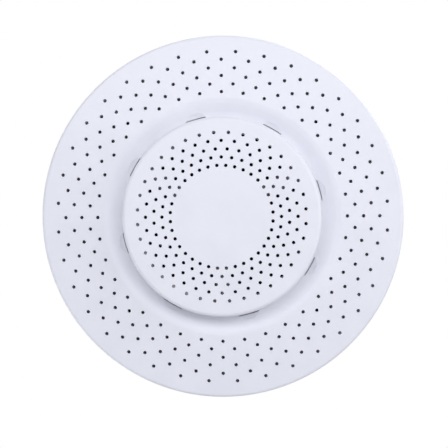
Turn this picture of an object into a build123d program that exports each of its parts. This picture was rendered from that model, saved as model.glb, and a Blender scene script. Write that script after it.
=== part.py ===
"""Round ceiling air diffuser with a perforated face and a screw-adjusted centre disc.

The frame's origin is on the diffuser's axis in the plane of the ceiling. +Z points up
into the duct, so everything below Z = 0 hangs under the ceiling and faces the room.
"""

import math
import os

from build123d import *

os.makedirs("parts", exist_ok=True)

# ---------------------------------------------------------------- driving dimensions, mm
# Duct connection and mounting frame
DUCT_BORE = 125.0  # inside diameter of the duct that slips over the spigot
DUCT_CLEARANCE = 0.5  # radial, spigot in duct
SHEET = 1.2  # sheet steel of the mounting frame
SPIGOT_HEIGHT = 55.0  # spigot above the ceiling
SEAL_HEIGHT = 8.0  # lip seal round the spigot's upper end
SEAL_DEPTH = 0.8  # how far the spigot's end is necked in for the seal
SEAL_STAND_OUT = 0.2  # of the pressed-in seal past the spigot
SEAL_END_GAP = 3.0  # plain spigot above the seal
GASKET_THICKNESS = 3.0
GASKET_WIDTH = 8.0
FLANGE_RADIUS = 106.0
CEILING_SCREW_CIRCLE = 170.0
CEILING_SCREW_HOLE_R = 2.25
CEILING_SCREWS = 4

# Front cover
FACE_RADIUS = 112.5
FACE_DEPTH = 14.0  # face below the ceiling
COVER_WALL = 2.0
RIM_CHAMFER = 3.0
CEILING_GAP = 1.0  # shadow gap between the rim and the ceiling
GROOVE_DEPTH = 3.2
GROOVE_SLOPE_RUN = 7.8
SLOTS = 8
SLOT_ANGLE = 12.0
SLOT_WIDTH = 1.5
SLOT_START_ANGLE = 30.0
SLOT_MARGIN = 1.0  # floor left outside a slot
COLLAR_GAP = 4.8  # radial, collar in spigot
COLLAR_TOP = 4.0  # collar above the ceiling
LUG_WIDTH = 11.0
LUG_DEPTH = 8.0
LUG_REACH = 8.5  # lug inwards from the collar
STAND_OFFS = 4
STAND_OFF_WIDTH = 4.0
STAND_OFF_ANGLE = 7.5
SEAT_GAP = 0.1  # between faces of two bodies that rest on each other

# Perforation: rings of equal numbers of pinholes, each ring half a pitch round
HOLES_PER_RING = 36
RING_PITCH = 5.0
PINHOLE_R = 1.0
PINHOLE_SIDES = 4
FACE_FIRST_RING = 5.5  # first ring out from the groove's shoulder
FACE_RIM_MARGIN = 9.5  # face left outside the last ring
DISC_FIRST_RING = 31.25
DISC_RIM_MARGIN = 7.5

# Adjustable centre disc
DISC_OVERLAP = 5.2  # disc's foot past the collar's outside
DISC_DRAFT = 0.5
DISC_PROJECTION = 14.0  # disc's face below the cover's face
DISC_WALL = 2.0
DISC_EDGE_CHAMFER = 2.5
FOOT_GAP = 0.6  # closed disc off the groove's floor
DISC_TRAVEL = 12.0
GUSSETS = 6
GUSSET_THICKNESS = 1.6
GUSSET_HEIGHT = 4.0
GUSSET_END_MARGIN = 3.0  # gusset's end inside the first ring of pinholes
BOSS_WALL = 3.0
DISC_SEAL_WIDTH = 2.0
DISC_SEAL_HEIGHT = 4.5
DISC_SEAL_GAP = 0.3  # seal off the groove's floor, and off the disc's tapered wall

# Bridge and screw adjuster
ARMS = 3
ARM_START_ANGLE = 90.0
ARM_WIDTH = 9.0
BRIDGE_THICKNESS = 2.0
BRIDGE_HUB_R = 16.0
ARM_END_GAP = 0.5  # arm's end inside the collar
BRIDGE_SCREW_R = 1.5
BRIDGE_SCREW_FLATS = 5.5
BRIDGE_SCREW_HEAD = 2.4
BRIDGE_SCREW_LENGTH = 7.0
BRIDGE_HOLE_CLEARANCE = 0.2
STUD_R = 4.0
STUD_TOP_MARGIN = 1.5
STUD_END_GAP = 1.0  # stud's end off the inside of the closed disc
STUD_HOLE_CLEARANCE = 0.2
THREAD_CLEARANCE = 0.05
NUT_FLATS = 13.0
NUT_HEIGHT = 6.5
JAM_NUT_HEIGHT = 4.0
WASHER_R = 8.0
WASHER_THICKNESS = 1.6
CAGE_PLATE = 2.0
CAGE_R = 15.0
PRONG_WIDTH = 6.0
PRONG_THICKNESS = 2.5
PRONG_END_MARGIN = 1.5
SLIDE_CLEARANCE = 0.3
SPRING_R = 9.0
SPRING_WIRE = 1.2
SPRING_CLOSED = 6.0  # spring's length with the disc closed
SPRING_OUTLINE_SIDES = 12
SPRING_SEAT_THICKNESS = 2.0
THRUST_WASHER = 0.8
THRUST_WASHER_R = 9.0
INSERT_R = 6.0
INSERT_FLANGE_R = 8.0
INSERT_FLANGE = 1.5
INSERT_LENGTH = 14.0

# Retaining springs that grip the spigot's wall
GRIPS = 3
GRIP_START_ANGLE = 30.0
GRIP_WIDTH = 9.0
GRIP_LEAF = 0.6
GRIP_GAP = 0.35  # leaf off the spigot's wall
GRIP_LEG = 7.0  # leg down the collar's inside
GRIP_RISE = 18.0  # fold above the collar
GRIP_TAIL = 2.0  # tail's end above the collar

# ---------------------------------------------------------------- sizes worked out from them
spigot_r = DUCT_BORE / 2 - DUCT_CLEARANCE
spigot_bore_r = spigot_r - SHEET
neck_r = spigot_r - SEAL_DEPTH
neck_z = SPIGOT_HEIGHT - SEAL_END_GAP - SEAL_HEIGHT
flange_top_z = -GASKET_THICKNESS
flange_z = flange_top_z - SHEET

collar_r = spigot_bore_r - COLLAR_GAP
throat_r = collar_r - COVER_WALL
disc_foot_r = collar_r + DISC_OVERLAP
disc_r = disc_foot_r - DISC_DRAFT
slot_r = disc_foot_r + FOOT_GAP
floor_r = slot_r + SLOT_WIDTH + SLOT_MARGIN
shoulder_r = floor_r + GROOVE_SLOPE_RUN

face_z = -FACE_DEPTH
floor_z = face_z + GROOVE_DEPTH
floor_top_z = floor_z + COVER_WALL
rim_top_z = -CEILING_GAP
disc_z = face_z - DISC_PROJECTION
disc_back_z = disc_z + DISC_WALL
disc_foot_z = floor_z - FOOT_GAP
disc_seal_top_z = floor_z - DISC_SEAL_GAP
disc_seal_r = disc_foot_r - DISC_WALL - DISC_SEAL_GAP

bridge_z = COLLAR_TOP
bridge_top_z = bridge_z + BRIDGE_THICKNESS
bridge_screw_circle_r = throat_r - LUG_REACH / 2
stud_nut_z = bridge_top_z + WASHER_THICKNESS
stud_top_z = stud_nut_z + NUT_HEIGHT + STUD_TOP_MARGIN
stud_end_z = disc_back_z + STUD_END_GAP
cage_plate_z = bridge_z - CAGE_PLATE
jam_nut_z = cage_plate_z - JAM_NUT_HEIGHT
spring_seat_top_z = cage_plate_z - SPRING_CLOSED
spring_seat_z = spring_seat_top_z - SPRING_SEAT_THICKNESS
prong_end_z = spring_seat_z - DISC_TRAVEL - PRONG_END_MARGIN
prong_r = CAGE_R - PRONG_THICKNESS / 2
thrust_washer_z = spring_seat_z - THRUST_WASHER
insert_top_z = thrust_washer_z - SEAT_GAP
boss_top_z = insert_top_z - INSERT_FLANGE
boss_r = INSERT_R + BOSS_WALL
gusset_end_r = DISC_FIRST_RING - GUSSET_END_MARGIN

# A flat leaf touches a round wall at its two edges, so its middle stands off the wall
grip_seat_r = math.sqrt(throat_r**2 - (GRIP_WIDTH / 2) ** 2)
grip_reach_r = math.sqrt((spigot_bore_r - GRIP_GAP) ** 2 - (GRIP_WIDTH / 2) ** 2)
grip_fold_r = (grip_seat_r + grip_reach_r) / 2
leaf_outline = (
    (grip_seat_r - GRIP_LEAF / 2, COLLAR_TOP - GRIP_LEG),
    (grip_seat_r - GRIP_LEAF / 2, COLLAR_TOP + GRIP_TAIL),
    (grip_fold_r, COLLAR_TOP + GRIP_RISE),
    (grip_reach_r - GRIP_LEAF / 2, COLLAR_TOP + GRIP_RISE / 2),
    (grip_fold_r + GRIP_LEAF, COLLAR_TOP + GRIP_TAIL),
)


def ring_radii(first, limit):
    """Radii of the pinhole rings from the first one out to the limit."""
    count = int((limit - first) / RING_PITCH + 1e-6) + 1
    return [first + RING_PITCH * index for index in range(count)]


def pinhole_angles(index, half_pitch_first):
    """Start angle of one ring, which lies half a pitch round from its neighbours."""
    half = 180 / HOLES_PER_RING
    return half if (index % 2 == 0) == half_pitch_first else 0.0


face_rings = ring_radii(shoulder_r + FACE_FIRST_RING, FACE_RADIUS - FACE_RIM_MARGIN)
disc_rings = ring_radii(DISC_FIRST_RING, disc_r - DISC_RIM_MARGIN)


def finish(part, name):
    """Labels a finished piece and writes it under its own name."""
    part.label = name
    export_step(part, f"parts/{name}.step")


# ---------------------------------------------------------------- mounting frame and its seals
with BuildPart() as mounting_frame:
    with BuildSketch(Plane.XZ):
        with BuildLine():
            Polyline(
                (spigot_bore_r, flange_z),
                (FLANGE_RADIUS, flange_z),
                (FLANGE_RADIUS, flange_top_z),
                (spigot_r, flange_top_z),
                (spigot_r, neck_z),
                (neck_r, neck_z),
                (neck_r, SPIGOT_HEIGHT),
                (neck_r - SHEET, SPIGOT_HEIGHT),
                (neck_r - SHEET, neck_z - SHEET),
                (spigot_bore_r, neck_z - SHEET),
                close=True,
            )
        make_face()
    revolve(axis=Axis.Z)
    with Locations(Plane.XY.offset(flange_top_z)):
        with PolarLocations(CEILING_SCREW_CIRCLE / 2, CEILING_SCREWS, start_angle=45):
            Hole(CEILING_SCREW_HOLE_R, depth=SHEET)
finish(mounting_frame.part, "mounting_frame")

with BuildPart() as spigot_seal:
    with BuildSketch(Plane.XY.offset(neck_z)):
        Circle(spigot_r + SEAL_STAND_OUT)
        Circle(neck_r, mode=Mode.SUBTRACT)
    extrude(amount=SEAL_HEIGHT)
finish(spigot_seal.part, "spigot_seal")

with BuildPart() as ceiling_gasket:
    with BuildSketch(Plane.XY.offset(flange_top_z)):
        Circle(FLANGE_RADIUS)
        Circle(FLANGE_RADIUS - GASKET_WIDTH, mode=Mode.SUBTRACT)
    extrude(amount=GASKET_THICKNESS)
finish(ceiling_gasket.part, "ceiling_gasket")

# ---------------------------------------------------------------- front cover
with BuildPart() as front_cover:
    with BuildSketch(Plane.XZ):
        with BuildLine():
            Polyline(
                (throat_r, floor_z),
                (floor_r, floor_z),
                (shoulder_r, face_z),
                (FACE_RADIUS, face_z),
                (FACE_RADIUS, rim_top_z),
                (FACE_RADIUS - COVER_WALL, rim_top_z),
                (FACE_RADIUS - COVER_WALL, face_z + COVER_WALL),
                (shoulder_r, face_z + COVER_WALL),
                (floor_r, floor_top_z),
                (collar_r, floor_top_z),
                (collar_r, COLLAR_TOP),
                (throat_r, COLLAR_TOP),
                close=True,
            )
        make_face()
    revolve(axis=Axis.Z)
    rim_edge = front_cover.edges().filter_by(GeomType.CIRCLE).group_by(Axis.Z)[0].sort_by(SortBy.RADIUS)[-1]
    chamfer(rim_edge, length=RIM_CHAMFER)
    # Lugs inside the collar take the bridge's screws
    with BuildSketch(Plane.XY.offset(COLLAR_TOP)):
        with PolarLocations(bridge_screw_circle_r, ARMS, start_angle=ARM_START_ANGLE):
            Rectangle(LUG_REACH + COVER_WALL, LUG_WIDTH)
    extrude(amount=-LUG_DEPTH)
    with Locations(Plane.XY.offset(COLLAR_TOP)):
        with PolarLocations(bridge_screw_circle_r, ARMS, start_angle=ARM_START_ANGLE):
            Hole(BRIDGE_SCREW_R, depth=BRIDGE_SCREW_LENGTH - BRIDGE_THICKNESS)
    # Pads on the back of the groove's floor seat on the mounting frame's flange
    with BuildSketch(Plane.XY.offset(floor_top_z)):
        with PolarLocations((spigot_bore_r + floor_r) / 2, STAND_OFFS, start_angle=STAND_OFF_ANGLE):
            Rectangle(floor_r - spigot_bore_r, STAND_OFF_WIDTH)
    extrude(amount=flange_z - SEAT_GAP - floor_top_z)
    # Narrow air slots at the disc's foot
    with BuildSketch(Plane.XY.offset(floor_z)):
        with BuildLine():
            for radius in (slot_r, slot_r + SLOT_WIDTH):
                CenterArc((0, 0), radius, SLOT_START_ANGLE - SLOT_ANGLE / 2, SLOT_ANGLE)
            for side in (-1, 1):
                angle = SLOT_START_ANGLE + side * SLOT_ANGLE / 2
                Line(
                    Vector(slot_r, 0).rotate(Axis.Z, angle),
                    Vector(slot_r + SLOT_WIDTH, 0).rotate(Axis.Z, angle),
                )
        slot_face = make_face()
    slot_cutter = extrude(amount=COVER_WALL, mode=Mode.PRIVATE)
    with PolarLocations(0, SLOTS):
        add(slot_cutter, mode=Mode.SUBTRACT)
    # Pinholes
    with BuildSketch(Plane.XY.offset(face_z)):
        for index, radius in enumerate(face_rings):
            start = pinhole_angles(index, half_pitch_first=False)
            with PolarLocations(radius, HOLES_PER_RING, start_angle=start):
                RegularPolygon(PINHOLE_R, PINHOLE_SIDES)
    extrude(amount=COVER_WALL, mode=Mode.SUBTRACT)
finish(front_cover.part, "front_cover")

# ---------------------------------------------------------------- adjustable disc
with BuildPart() as valve_disc:
    with BuildSketch(Plane.XZ):
        with BuildLine():
            Polyline(
                (0, disc_z),
                (disc_r, disc_z),
                (disc_foot_r, disc_foot_z),
                (disc_foot_r - DISC_WALL, disc_foot_z),
                (disc_r - DISC_WALL, disc_back_z),
                (boss_r, disc_back_z),
                (boss_r, boss_top_z),
                (INSERT_R, boss_top_z),
                (INSERT_R, disc_back_z),
                (0, disc_back_z),
                close=True,
            )
        make_face()
    revolve(axis=Axis.Z)
    disc_edge = valve_disc.edges().filter_by(GeomType.CIRCLE).group_by(Axis.Z)[0]
    chamfer(disc_edge, length=DISC_EDGE_CHAMFER)
    # Gussets tie the boss to the blank centre of the face
    with BuildSketch(Plane.XY.offset(disc_back_z)):
        with PolarLocations((boss_r + gusset_end_r) / 2, GUSSETS):
            Rectangle(gusset_end_r - boss_r + BOSS_WALL, GUSSET_THICKNESS)
    extrude(amount=GUSSET_HEIGHT)
    # Pinholes
    with BuildSketch(Plane.XY.offset(disc_z)):
        for index, radius in enumerate(disc_rings):
            start = pinhole_angles(index, half_pitch_first=True)
            with PolarLocations(radius, HOLES_PER_RING, start_angle=start):
                RegularPolygon(PINHOLE_R, PINHOLE_SIDES)
    extrude(amount=DISC_WALL, mode=Mode.SUBTRACT)
finish(valve_disc.part, "valve_disc")

with BuildPart() as thread_insert:
    with BuildSketch(Plane.XY.offset(boss_top_z)):
        Circle(INSERT_FLANGE_R)
    extrude(amount=INSERT_FLANGE)
    with BuildSketch(Plane.XY.offset(boss_top_z)):
        Circle(INSERT_R)
    extrude(amount=INSERT_FLANGE - INSERT_LENGTH)
    with BuildSketch(Plane.XY.offset(insert_top_z)):
        Circle(STUD_R + THREAD_CLEARANCE)
    extrude(amount=-INSERT_LENGTH, mode=Mode.SUBTRACT)
finish(thread_insert.part, "thread_insert")

with BuildPart() as disc_seal:
    with BuildSketch(Plane.XY.offset(disc_seal_top_z)):
        Circle(disc_seal_r)
        Circle(disc_seal_r - DISC_SEAL_WIDTH, mode=Mode.SUBTRACT)
    extrude(amount=-DISC_SEAL_HEIGHT)
finish(disc_seal.part, "disc_seal")

# ---------------------------------------------------------------- bridge and screw adjuster
with BuildPart() as bridge:
    with BuildSketch(Plane.XY.offset(bridge_z)):
        Circle(BRIDGE_HUB_R)
        arm_length = throat_r - ARM_END_GAP
        with PolarLocations(arm_length / 2, ARMS, start_angle=ARM_START_ANGLE):
            Rectangle(arm_length, ARM_WIDTH)
        Circle(STUD_R + STUD_HOLE_CLEARANCE, mode=Mode.SUBTRACT)
        with PolarLocations(bridge_screw_circle_r, ARMS, start_angle=ARM_START_ANGLE):
            Circle(BRIDGE_SCREW_R + BRIDGE_HOLE_CLEARANCE, mode=Mode.SUBTRACT)
    extrude(amount=BRIDGE_THICKNESS)
finish(bridge.part, "bridge")

with BuildPart() as bridge_screws:
    with BuildSketch(Plane.XY.offset(bridge_top_z)):
        with PolarLocations(bridge_screw_circle_r, ARMS, start_angle=ARM_START_ANGLE):
            RegularPolygon(BRIDGE_SCREW_FLATS / 2, 6, major_radius=False)
    extrude(amount=BRIDGE_SCREW_HEAD)
    with BuildSketch(Plane.XY.offset(bridge_top_z)):
        with PolarLocations(bridge_screw_circle_r, ARMS, start_angle=ARM_START_ANGLE):
            Circle(BRIDGE_SCREW_R)
    extrude(amount=-BRIDGE_SCREW_LENGTH)
finish(bridge_screws.part, "bridge_screws")

with BuildPart() as threaded_stud:
    with BuildSketch(Plane.XY.offset(stud_end_z)):
        Circle(STUD_R)
    extrude(amount=stud_top_z - stud_end_z)
finish(threaded_stud.part, "threaded_stud")

with BuildPart() as stud_washer:
    with BuildSketch(Plane.XY.offset(bridge_top_z)):
        Circle(WASHER_R)
        Circle(STUD_R + STUD_HOLE_CLEARANCE, mode=Mode.SUBTRACT)
    extrude(amount=WASHER_THICKNESS)
finish(stud_washer.part, "stud_washer")

for nut_name, nut_z, nut_height in (
    ("stud_nut", stud_nut_z, NUT_HEIGHT),
    ("jam_nut", jam_nut_z, JAM_NUT_HEIGHT),
):
    with BuildPart() as nut:
        with BuildSketch(Plane.XY.offset(nut_z)):
            RegularPolygon(NUT_FLATS / 2, 6, major_radius=False)
            Circle(STUD_R + THREAD_CLEARANCE, mode=Mode.SUBTRACT)
        extrude(amount=nut_height)
    finish(nut.part, nut_name)

with BuildPart() as guide_cage:
    with BuildSketch(Plane.XY.offset(cage_plate_z)):
        Circle(CAGE_R)
        Circle(STUD_R + STUD_HOLE_CLEARANCE, mode=Mode.SUBTRACT)
    extrude(amount=CAGE_PLATE)
    with BuildSketch(Plane.XY.offset(cage_plate_z)):
        with PolarLocations(prong_r, ARMS, start_angle=ARM_START_ANGLE):
            Rectangle(PRONG_THICKNESS, PRONG_WIDTH)
    extrude(amount=prong_end_z - cage_plate_z)
finish(guide_cage.part, "guide_cage")

with BuildPart() as spring_seat:
    with BuildSketch(Plane.XY.offset(spring_seat_z)):
        Circle(CAGE_R)
        Circle(STUD_R + SLIDE_CLEARANCE, mode=Mode.SUBTRACT)
        # A notch rides on each prong of the cage, so the seat slides but doesn't turn
        with PolarLocations(CAGE_R, ARMS, start_angle=ARM_START_ANGLE):
            Rectangle(
                2 * (PRONG_THICKNESS + SLIDE_CLEARANCE),
                PRONG_WIDTH + 2 * SLIDE_CLEARANCE,
                mode=Mode.SUBTRACT,
            )
    extrude(amount=SPRING_SEAT_THICKNESS)
finish(spring_seat.part, "spring_seat")

with BuildPart() as thrust_washer:
    with BuildSketch(Plane.XY.offset(thrust_washer_z)):
        Circle(THRUST_WASHER_R)
        Circle(STUD_R + SLIDE_CLEARANCE, mode=Mode.SUBTRACT)
    extrude(amount=THRUST_WASHER)
finish(thrust_washer.part, "thrust_washer")

with BuildPart() as compression_spring:
    with BuildSketch(Plane.XY.offset(spring_seat_top_z)):
        RegularPolygon(SPRING_R + SPRING_WIRE / 2, SPRING_OUTLINE_SIDES)
        RegularPolygon(SPRING_R - SPRING_WIRE / 2, SPRING_OUTLINE_SIDES, mode=Mode.SUBTRACT)
    extrude(amount=SPRING_CLOSED)
finish(compression_spring.part, "compression_spring")

# ---------------------------------------------------------------- retaining springs
for index in range(GRIPS):
    leaf_plane = Plane.XZ.rotated((0, 0, GRIP_START_ANGLE + 360 / GRIPS * index))
    with BuildPart() as retaining_spring:
        with BuildSketch(leaf_plane):
            with BuildLine():
                Polyline(*leaf_outline)
            trace(line_width=GRIP_LEAF)
        extrude(amount=GRIP_WIDTH / 2, both=True)
    finish(retaining_spring.part, f"retaining_spring_{index + 1}")
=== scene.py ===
"""Looks of a round ceiling air diffuser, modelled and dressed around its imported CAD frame.

The frame's origin is on the diffuser's axis in the plane of the ceiling, and +Z points up
into the duct. Sizes of the pieces are written in millimetres, and meshes are in metres.
"""

import logging
import math
from collections.abc import Callable, Iterator, Sequence
from contextlib import contextmanager
from dataclasses import dataclass
from enum import Enum

import bmesh
import bpy
from mathutils import Matrix, Vector

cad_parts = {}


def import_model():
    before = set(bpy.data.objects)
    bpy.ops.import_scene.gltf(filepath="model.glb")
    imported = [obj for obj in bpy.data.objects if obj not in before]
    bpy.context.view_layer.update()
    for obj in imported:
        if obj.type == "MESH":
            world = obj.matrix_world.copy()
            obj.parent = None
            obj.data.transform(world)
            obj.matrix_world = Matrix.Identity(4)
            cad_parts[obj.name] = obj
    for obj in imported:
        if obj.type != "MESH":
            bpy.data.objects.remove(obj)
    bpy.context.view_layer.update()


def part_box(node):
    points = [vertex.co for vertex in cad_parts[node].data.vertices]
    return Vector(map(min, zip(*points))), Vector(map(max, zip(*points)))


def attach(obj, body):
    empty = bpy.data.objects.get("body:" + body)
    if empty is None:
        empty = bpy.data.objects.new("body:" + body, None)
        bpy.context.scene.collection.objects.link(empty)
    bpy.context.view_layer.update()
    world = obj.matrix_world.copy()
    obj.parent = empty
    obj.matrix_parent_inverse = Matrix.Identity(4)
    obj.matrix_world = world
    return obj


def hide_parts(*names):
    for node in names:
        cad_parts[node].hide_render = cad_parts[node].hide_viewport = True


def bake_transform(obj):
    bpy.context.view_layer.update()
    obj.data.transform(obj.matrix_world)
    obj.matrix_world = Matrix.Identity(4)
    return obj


LOG = logging.getLogger("ceiling_diffuser")
MM = 0.001

NEAR = 0.02  # gap within which a point counts as on a circle, in mm
DOUBLES = 0.002  # gap within which two corners are merged, in mm
LARGE_ROUND = 192  # flats round the face, the disc and the frame
HUB_ROUND = 96  # flats round the plates in the middle
SMALL_ROUND = 72  # flats round washers and nuts
TOOL_ROUND = 48  # flats round bores and chamfer tools
TINY_ROUND = 24  # flats round screws and rivets
HEXAGON = 6
PINS_PER_RING = 36
PIN_ROUND = 14  # flats round a pinhole
PIN_FLARE = 0.15  # how much wider a pinhole's mouth is, in mm
PIN_FLARE_DEPTH = 0.15  # in mm
PIN_PAST = 0.45  # of a pin past both sides of its wall, in mm

Profile = Sequence[tuple[float, float]]
Colour = tuple[float, float, float]
Piece = bpy.types.Object
EdgeTest = Callable[[Vector, Vector], bool]


class Body(Enum):
    """Bodies of the CAD model that the pieces ride on."""

    FRAME = "fixed_frame"
    FACE = "pull_off_face"
    CARRIER = "spring_carrier"
    DISC = "centre_disc"


class Join(Enum):
    """Ways in which one solid acts on another."""

    CUT = "DIFFERENCE"
    ADD = "UNION"
    KEEP_SHARED = "INTERSECT"


# ------------------------------------------------------------------ bench: modelling by hand
@dataclass(frozen=True)
class Span:
    """Reach of a CAD node from the axis and its lowest and highest point, in mm."""

    reach: float
    low: float
    high: float


def span_of(node: str) -> Span:
    """Reads where a CAD node is.

    Args:
        node: name of the CAD node.

    Returns:
        Its reach along X and its heights, in mm.
    """
    low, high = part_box(node)
    return Span(round(high.x / MM, 3), round(low.z / MM, 3), round(high.z / MM, 3))


def pick(*pieces: Piece) -> None:
    """Selects these pieces alone and makes the first one active."""
    if bpy.context.mode != "OBJECT":
        bpy.ops.object.mode_set(mode="OBJECT")
    bpy.ops.object.select_all(action="DESELECT")
    for piece in pieces:
        piece.select_set(True)
    if pieces:
        bpy.context.view_layer.objects.active = pieces[0]


@contextmanager
def editing(piece: Piece) -> Iterator[None]:
    """Holds a piece in edit mode, with nothing selected at the start.

    Args:
        piece: the piece to edit.
    """
    pick(piece)
    bpy.ops.object.mode_set(mode="EDIT")
    bpy.context.tool_settings.mesh_select_mode = (False, True, False)
    bpy.ops.mesh.select_all(action="DESELECT")
    yield
    bpy.ops.object.mode_set(mode="OBJECT")


def select_edges(piece: Piece, wanted: EdgeTest) -> None:
    """Selects edges of the piece in edit mode.

    Args:
        piece: the piece in edit mode.
        wanted: test of an edge's two ends, given in mm.
    """
    mesh = bmesh.from_edit_mesh(piece.data)
    for edge in mesh.edges:
        if wanted(edge.verts[0].co / MM, edge.verts[1].co / MM):
            edge.select_set(True)
    mesh.select_flush_mode()
    bmesh.update_edit_mesh(piece.data)


def both(test: Callable[[Vector], bool]) -> EdgeTest:
    """Makes a test for edges whose two ends both pass, given in mm."""
    return lambda one, other: test(one) and test(other)


def rises(least: float) -> EdgeTest:
    """Makes a test for edges that climb by more than this, in mm."""
    return lambda one, other: abs(one.z - other.z) > least


def on_circle(radius: float, height: float) -> EdgeTest:
    """Makes a test for edges along one circle round the axis.

    Args:
        radius: radius of the circle, in mm.
        height: its height, in mm.

    Returns:
        The test, for select_edges.
    """

    def lies_on(end: Vector) -> bool:
        """Says whether one end lies on the circle."""
        return abs(end.xy.length - radius) < NEAR and abs(end.z - height) < NEAR

    return both(lies_on)


def tidy_shell(piece: Piece) -> None:
    """Merges doubles and turns the faces outwards."""
    with editing(piece):
        bpy.ops.mesh.select_all(action="SELECT")
        bpy.ops.mesh.remove_doubles(threshold=DOUBLES * MM)
        bpy.ops.mesh.normals_make_consistent(inside=False)


def flat_ring(inner: float, outer: float, low: float, high: float) -> Profile:
    """Gives the four corners of a plain ring's section, in mm."""
    return ((inner, low), (outer, low), (outer, high), (inner, high))


def turn(name: str, profile: Profile, segments: int = HUB_ROUND, ring: bool = True) -> Piece:
    """Turns a profile round the axis by extruding a circle of edges from point to point.

    Args:
        name: name of the new piece.
        profile: radius and height of each corner, in mm.
        segments: flats round the circle.
        ring: whether the profile closes on itself; otherwise both ends are capped.

    Returns:
        The turned piece.
    """
    pick()
    radius, height = profile[0]
    bpy.ops.mesh.primitive_circle_add(vertices=segments, radius=radius * MM)
    piece = bpy.context.object
    piece.name = name
    with editing(piece):
        bpy.ops.mesh.select_all(action="SELECT")
        bpy.ops.transform.translate(value=(0, 0, height * MM))
        for next_radius, next_height in [*profile[1:], *([profile[0]] if ring else [])]:
            bpy.ops.mesh.extrude_edges_indiv()
            bpy.ops.transform.translate(value=(0, 0, (next_height - height) * MM))
            grown = next_radius / radius
            bpy.ops.transform.resize(value=(grown, grown, 1), center_override=(0, 0, next_height * MM))
            radius, height = next_radius, next_height
        if not ring:
            for end in (profile[0], profile[-1]):
                bpy.ops.mesh.select_all(action="DESELECT")
                select_edges(piece, on_circle(*end))
                bpy.ops.mesh.edge_face_add()
    tidy_shell(piece)
    return piece


def round_circles(piece: Piece, *corners: tuple[float, float, float], steps: int = 4) -> None:
    """Rounds circular corners of a turned piece.

    Args:
        piece: the turned piece.
        corners: radius, height and rounding of each corner, in mm.
        steps: facets across each rounding.
    """
    for radius, height, rounding in corners:
        round_edges(piece, on_circle(radius, height), rounding, steps)


def round_edges(piece: Piece, wanted: EdgeTest, rounding: float, steps: int = 3) -> None:
    """Rounds chosen edges of a piece.

    Args:
        piece: the piece.
        wanted: test of an edge's two ends, in mm.
        rounding: width of the rounding, in mm.
        steps: facets across the rounding.
    """
    with editing(piece):
        select_edges(piece, wanted)
        bpy.ops.mesh.bevel(offset=rounding * MM, segments=steps, affect="EDGES")


def block(name: str, low: Sequence[float], high: Sequence[float]) -> Piece:
    """Makes a block between two corners, with its place in its mesh.

    Args:
        name: name of the block.
        low: lowest corner, in mm.
        high: highest corner, in mm.

    Returns:
        The block.
    """
    pick()
    middle = [(a + b) / 2 * MM for a, b in zip(low, high)]
    bpy.ops.mesh.primitive_cube_add(size=1, location=middle)
    piece = bpy.context.object
    piece.name = name
    piece.scale = [(b - a) * MM for a, b in zip(low, high)]
    bpy.ops.object.transform_apply(location=True, rotation=True, scale=True)
    return piece


def draw_line(name: str, points: Sequence[Sequence[float]]) -> Piece:
    """Draws a line of edges by extruding one vertex from point to point.

    Args:
        name: name of the new piece.
        points: places along the line, in mm.

    Returns:
        The line, as a piece.
    """
    pick()
    bpy.ops.mesh.primitive_plane_add(size=MM)
    piece = bpy.context.object
    piece.name = name
    with editing(piece):
        bpy.ops.mesh.select_all(action="SELECT")
        bpy.ops.mesh.merge(type="CENTER")
        bpy.context.tool_settings.mesh_select_mode = (True, False, False)
        bpy.ops.mesh.select_all(action="SELECT")
        here = Vector((0, 0, 0))
        for index, point in enumerate(points):
            if index:
                bpy.ops.mesh.extrude_verts_indiv()
            bpy.ops.transform.translate(value=(Vector(point) - here) * MM)
            here = Vector(point)
    return piece


def turned_copy(piece: Piece, angle: float, name: str) -> Piece:
    """Copies a piece round the axis, with its own mesh.

    Args:
        piece: the piece to copy.
        angle: angle round the axis, in degrees.
        name: name of the copy.

    Returns:
        The copy, with its place in its mesh.
    """
    pick(piece)
    bpy.ops.object.duplicate(linked=False)
    copy = bpy.context.object
    copy.name = name
    copy.rotation_euler.z = math.radians(angle)
    bpy.ops.object.transform_apply(location=True, rotation=True, scale=True)
    return copy


def place(piece: Piece, angle: float = 0.0, offset: Sequence[float] = (0, 0, 0)) -> Piece:
    """Moves a piece and turns it round the axis, with its place kept in its mesh.

    Args:
        piece: the piece.
        angle: angle round the axis after the move, in degrees.
        offset: move before the turn, in mm.

    Returns:
        The same piece.
    """
    pick(piece)
    piece.location = Vector(offset) * MM
    bpy.ops.object.transform_apply(location=True)
    piece.rotation_euler.z = math.radians(angle)
    bpy.ops.object.transform_apply(rotation=True)
    return piece


def repeat_round(piece: Piece, count: int) -> Piece:
    """Repeats a piece's whole mesh at even steps round the axis.

    Args:
        piece: the piece.
        count: how many there are in all.

    Returns:
        The same piece.
    """
    with editing(piece):
        bpy.ops.mesh.select_all(action="SELECT")
        bpy.ops.mesh.spin(
            steps=count - 1,
            dupli=True,
            use_auto_merge=False,
            angle=math.tau * (count - 1) / count,
            center=(0, 0, 0),
            axis=(0, 0, 1),
        )
        bpy.ops.mesh.select_all(action="SELECT")
        bpy.ops.mesh.normals_make_consistent(inside=False)
    return piece


def combine(piece: Piece, tool: Piece, how: Join) -> None:
    """Joins or cuts a piece with a tool, which is used up.

    Args:
        piece: the piece that stays.
        tool: the other solid.
        how: what the tool does.
    """
    modifier = piece.modifiers.new("combine", "BOOLEAN")
    modifier.operation = how.value
    modifier.object = tool
    modifier.solver = "MANIFOLD"
    pick(piece)
    bpy.ops.object.modifier_apply(modifier=modifier.name)
    bpy.data.objects.remove(tool)


def merge(name: str, *pieces: Piece) -> Piece:
    """Joins pieces into one object.

    Args:
        name: name of the result.
        pieces: the pieces.

    Returns:
        The one object.
    """
    pick(*pieces)
    bpy.ops.object.join()
    pieces[0].name = name
    return pieces[0]


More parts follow.
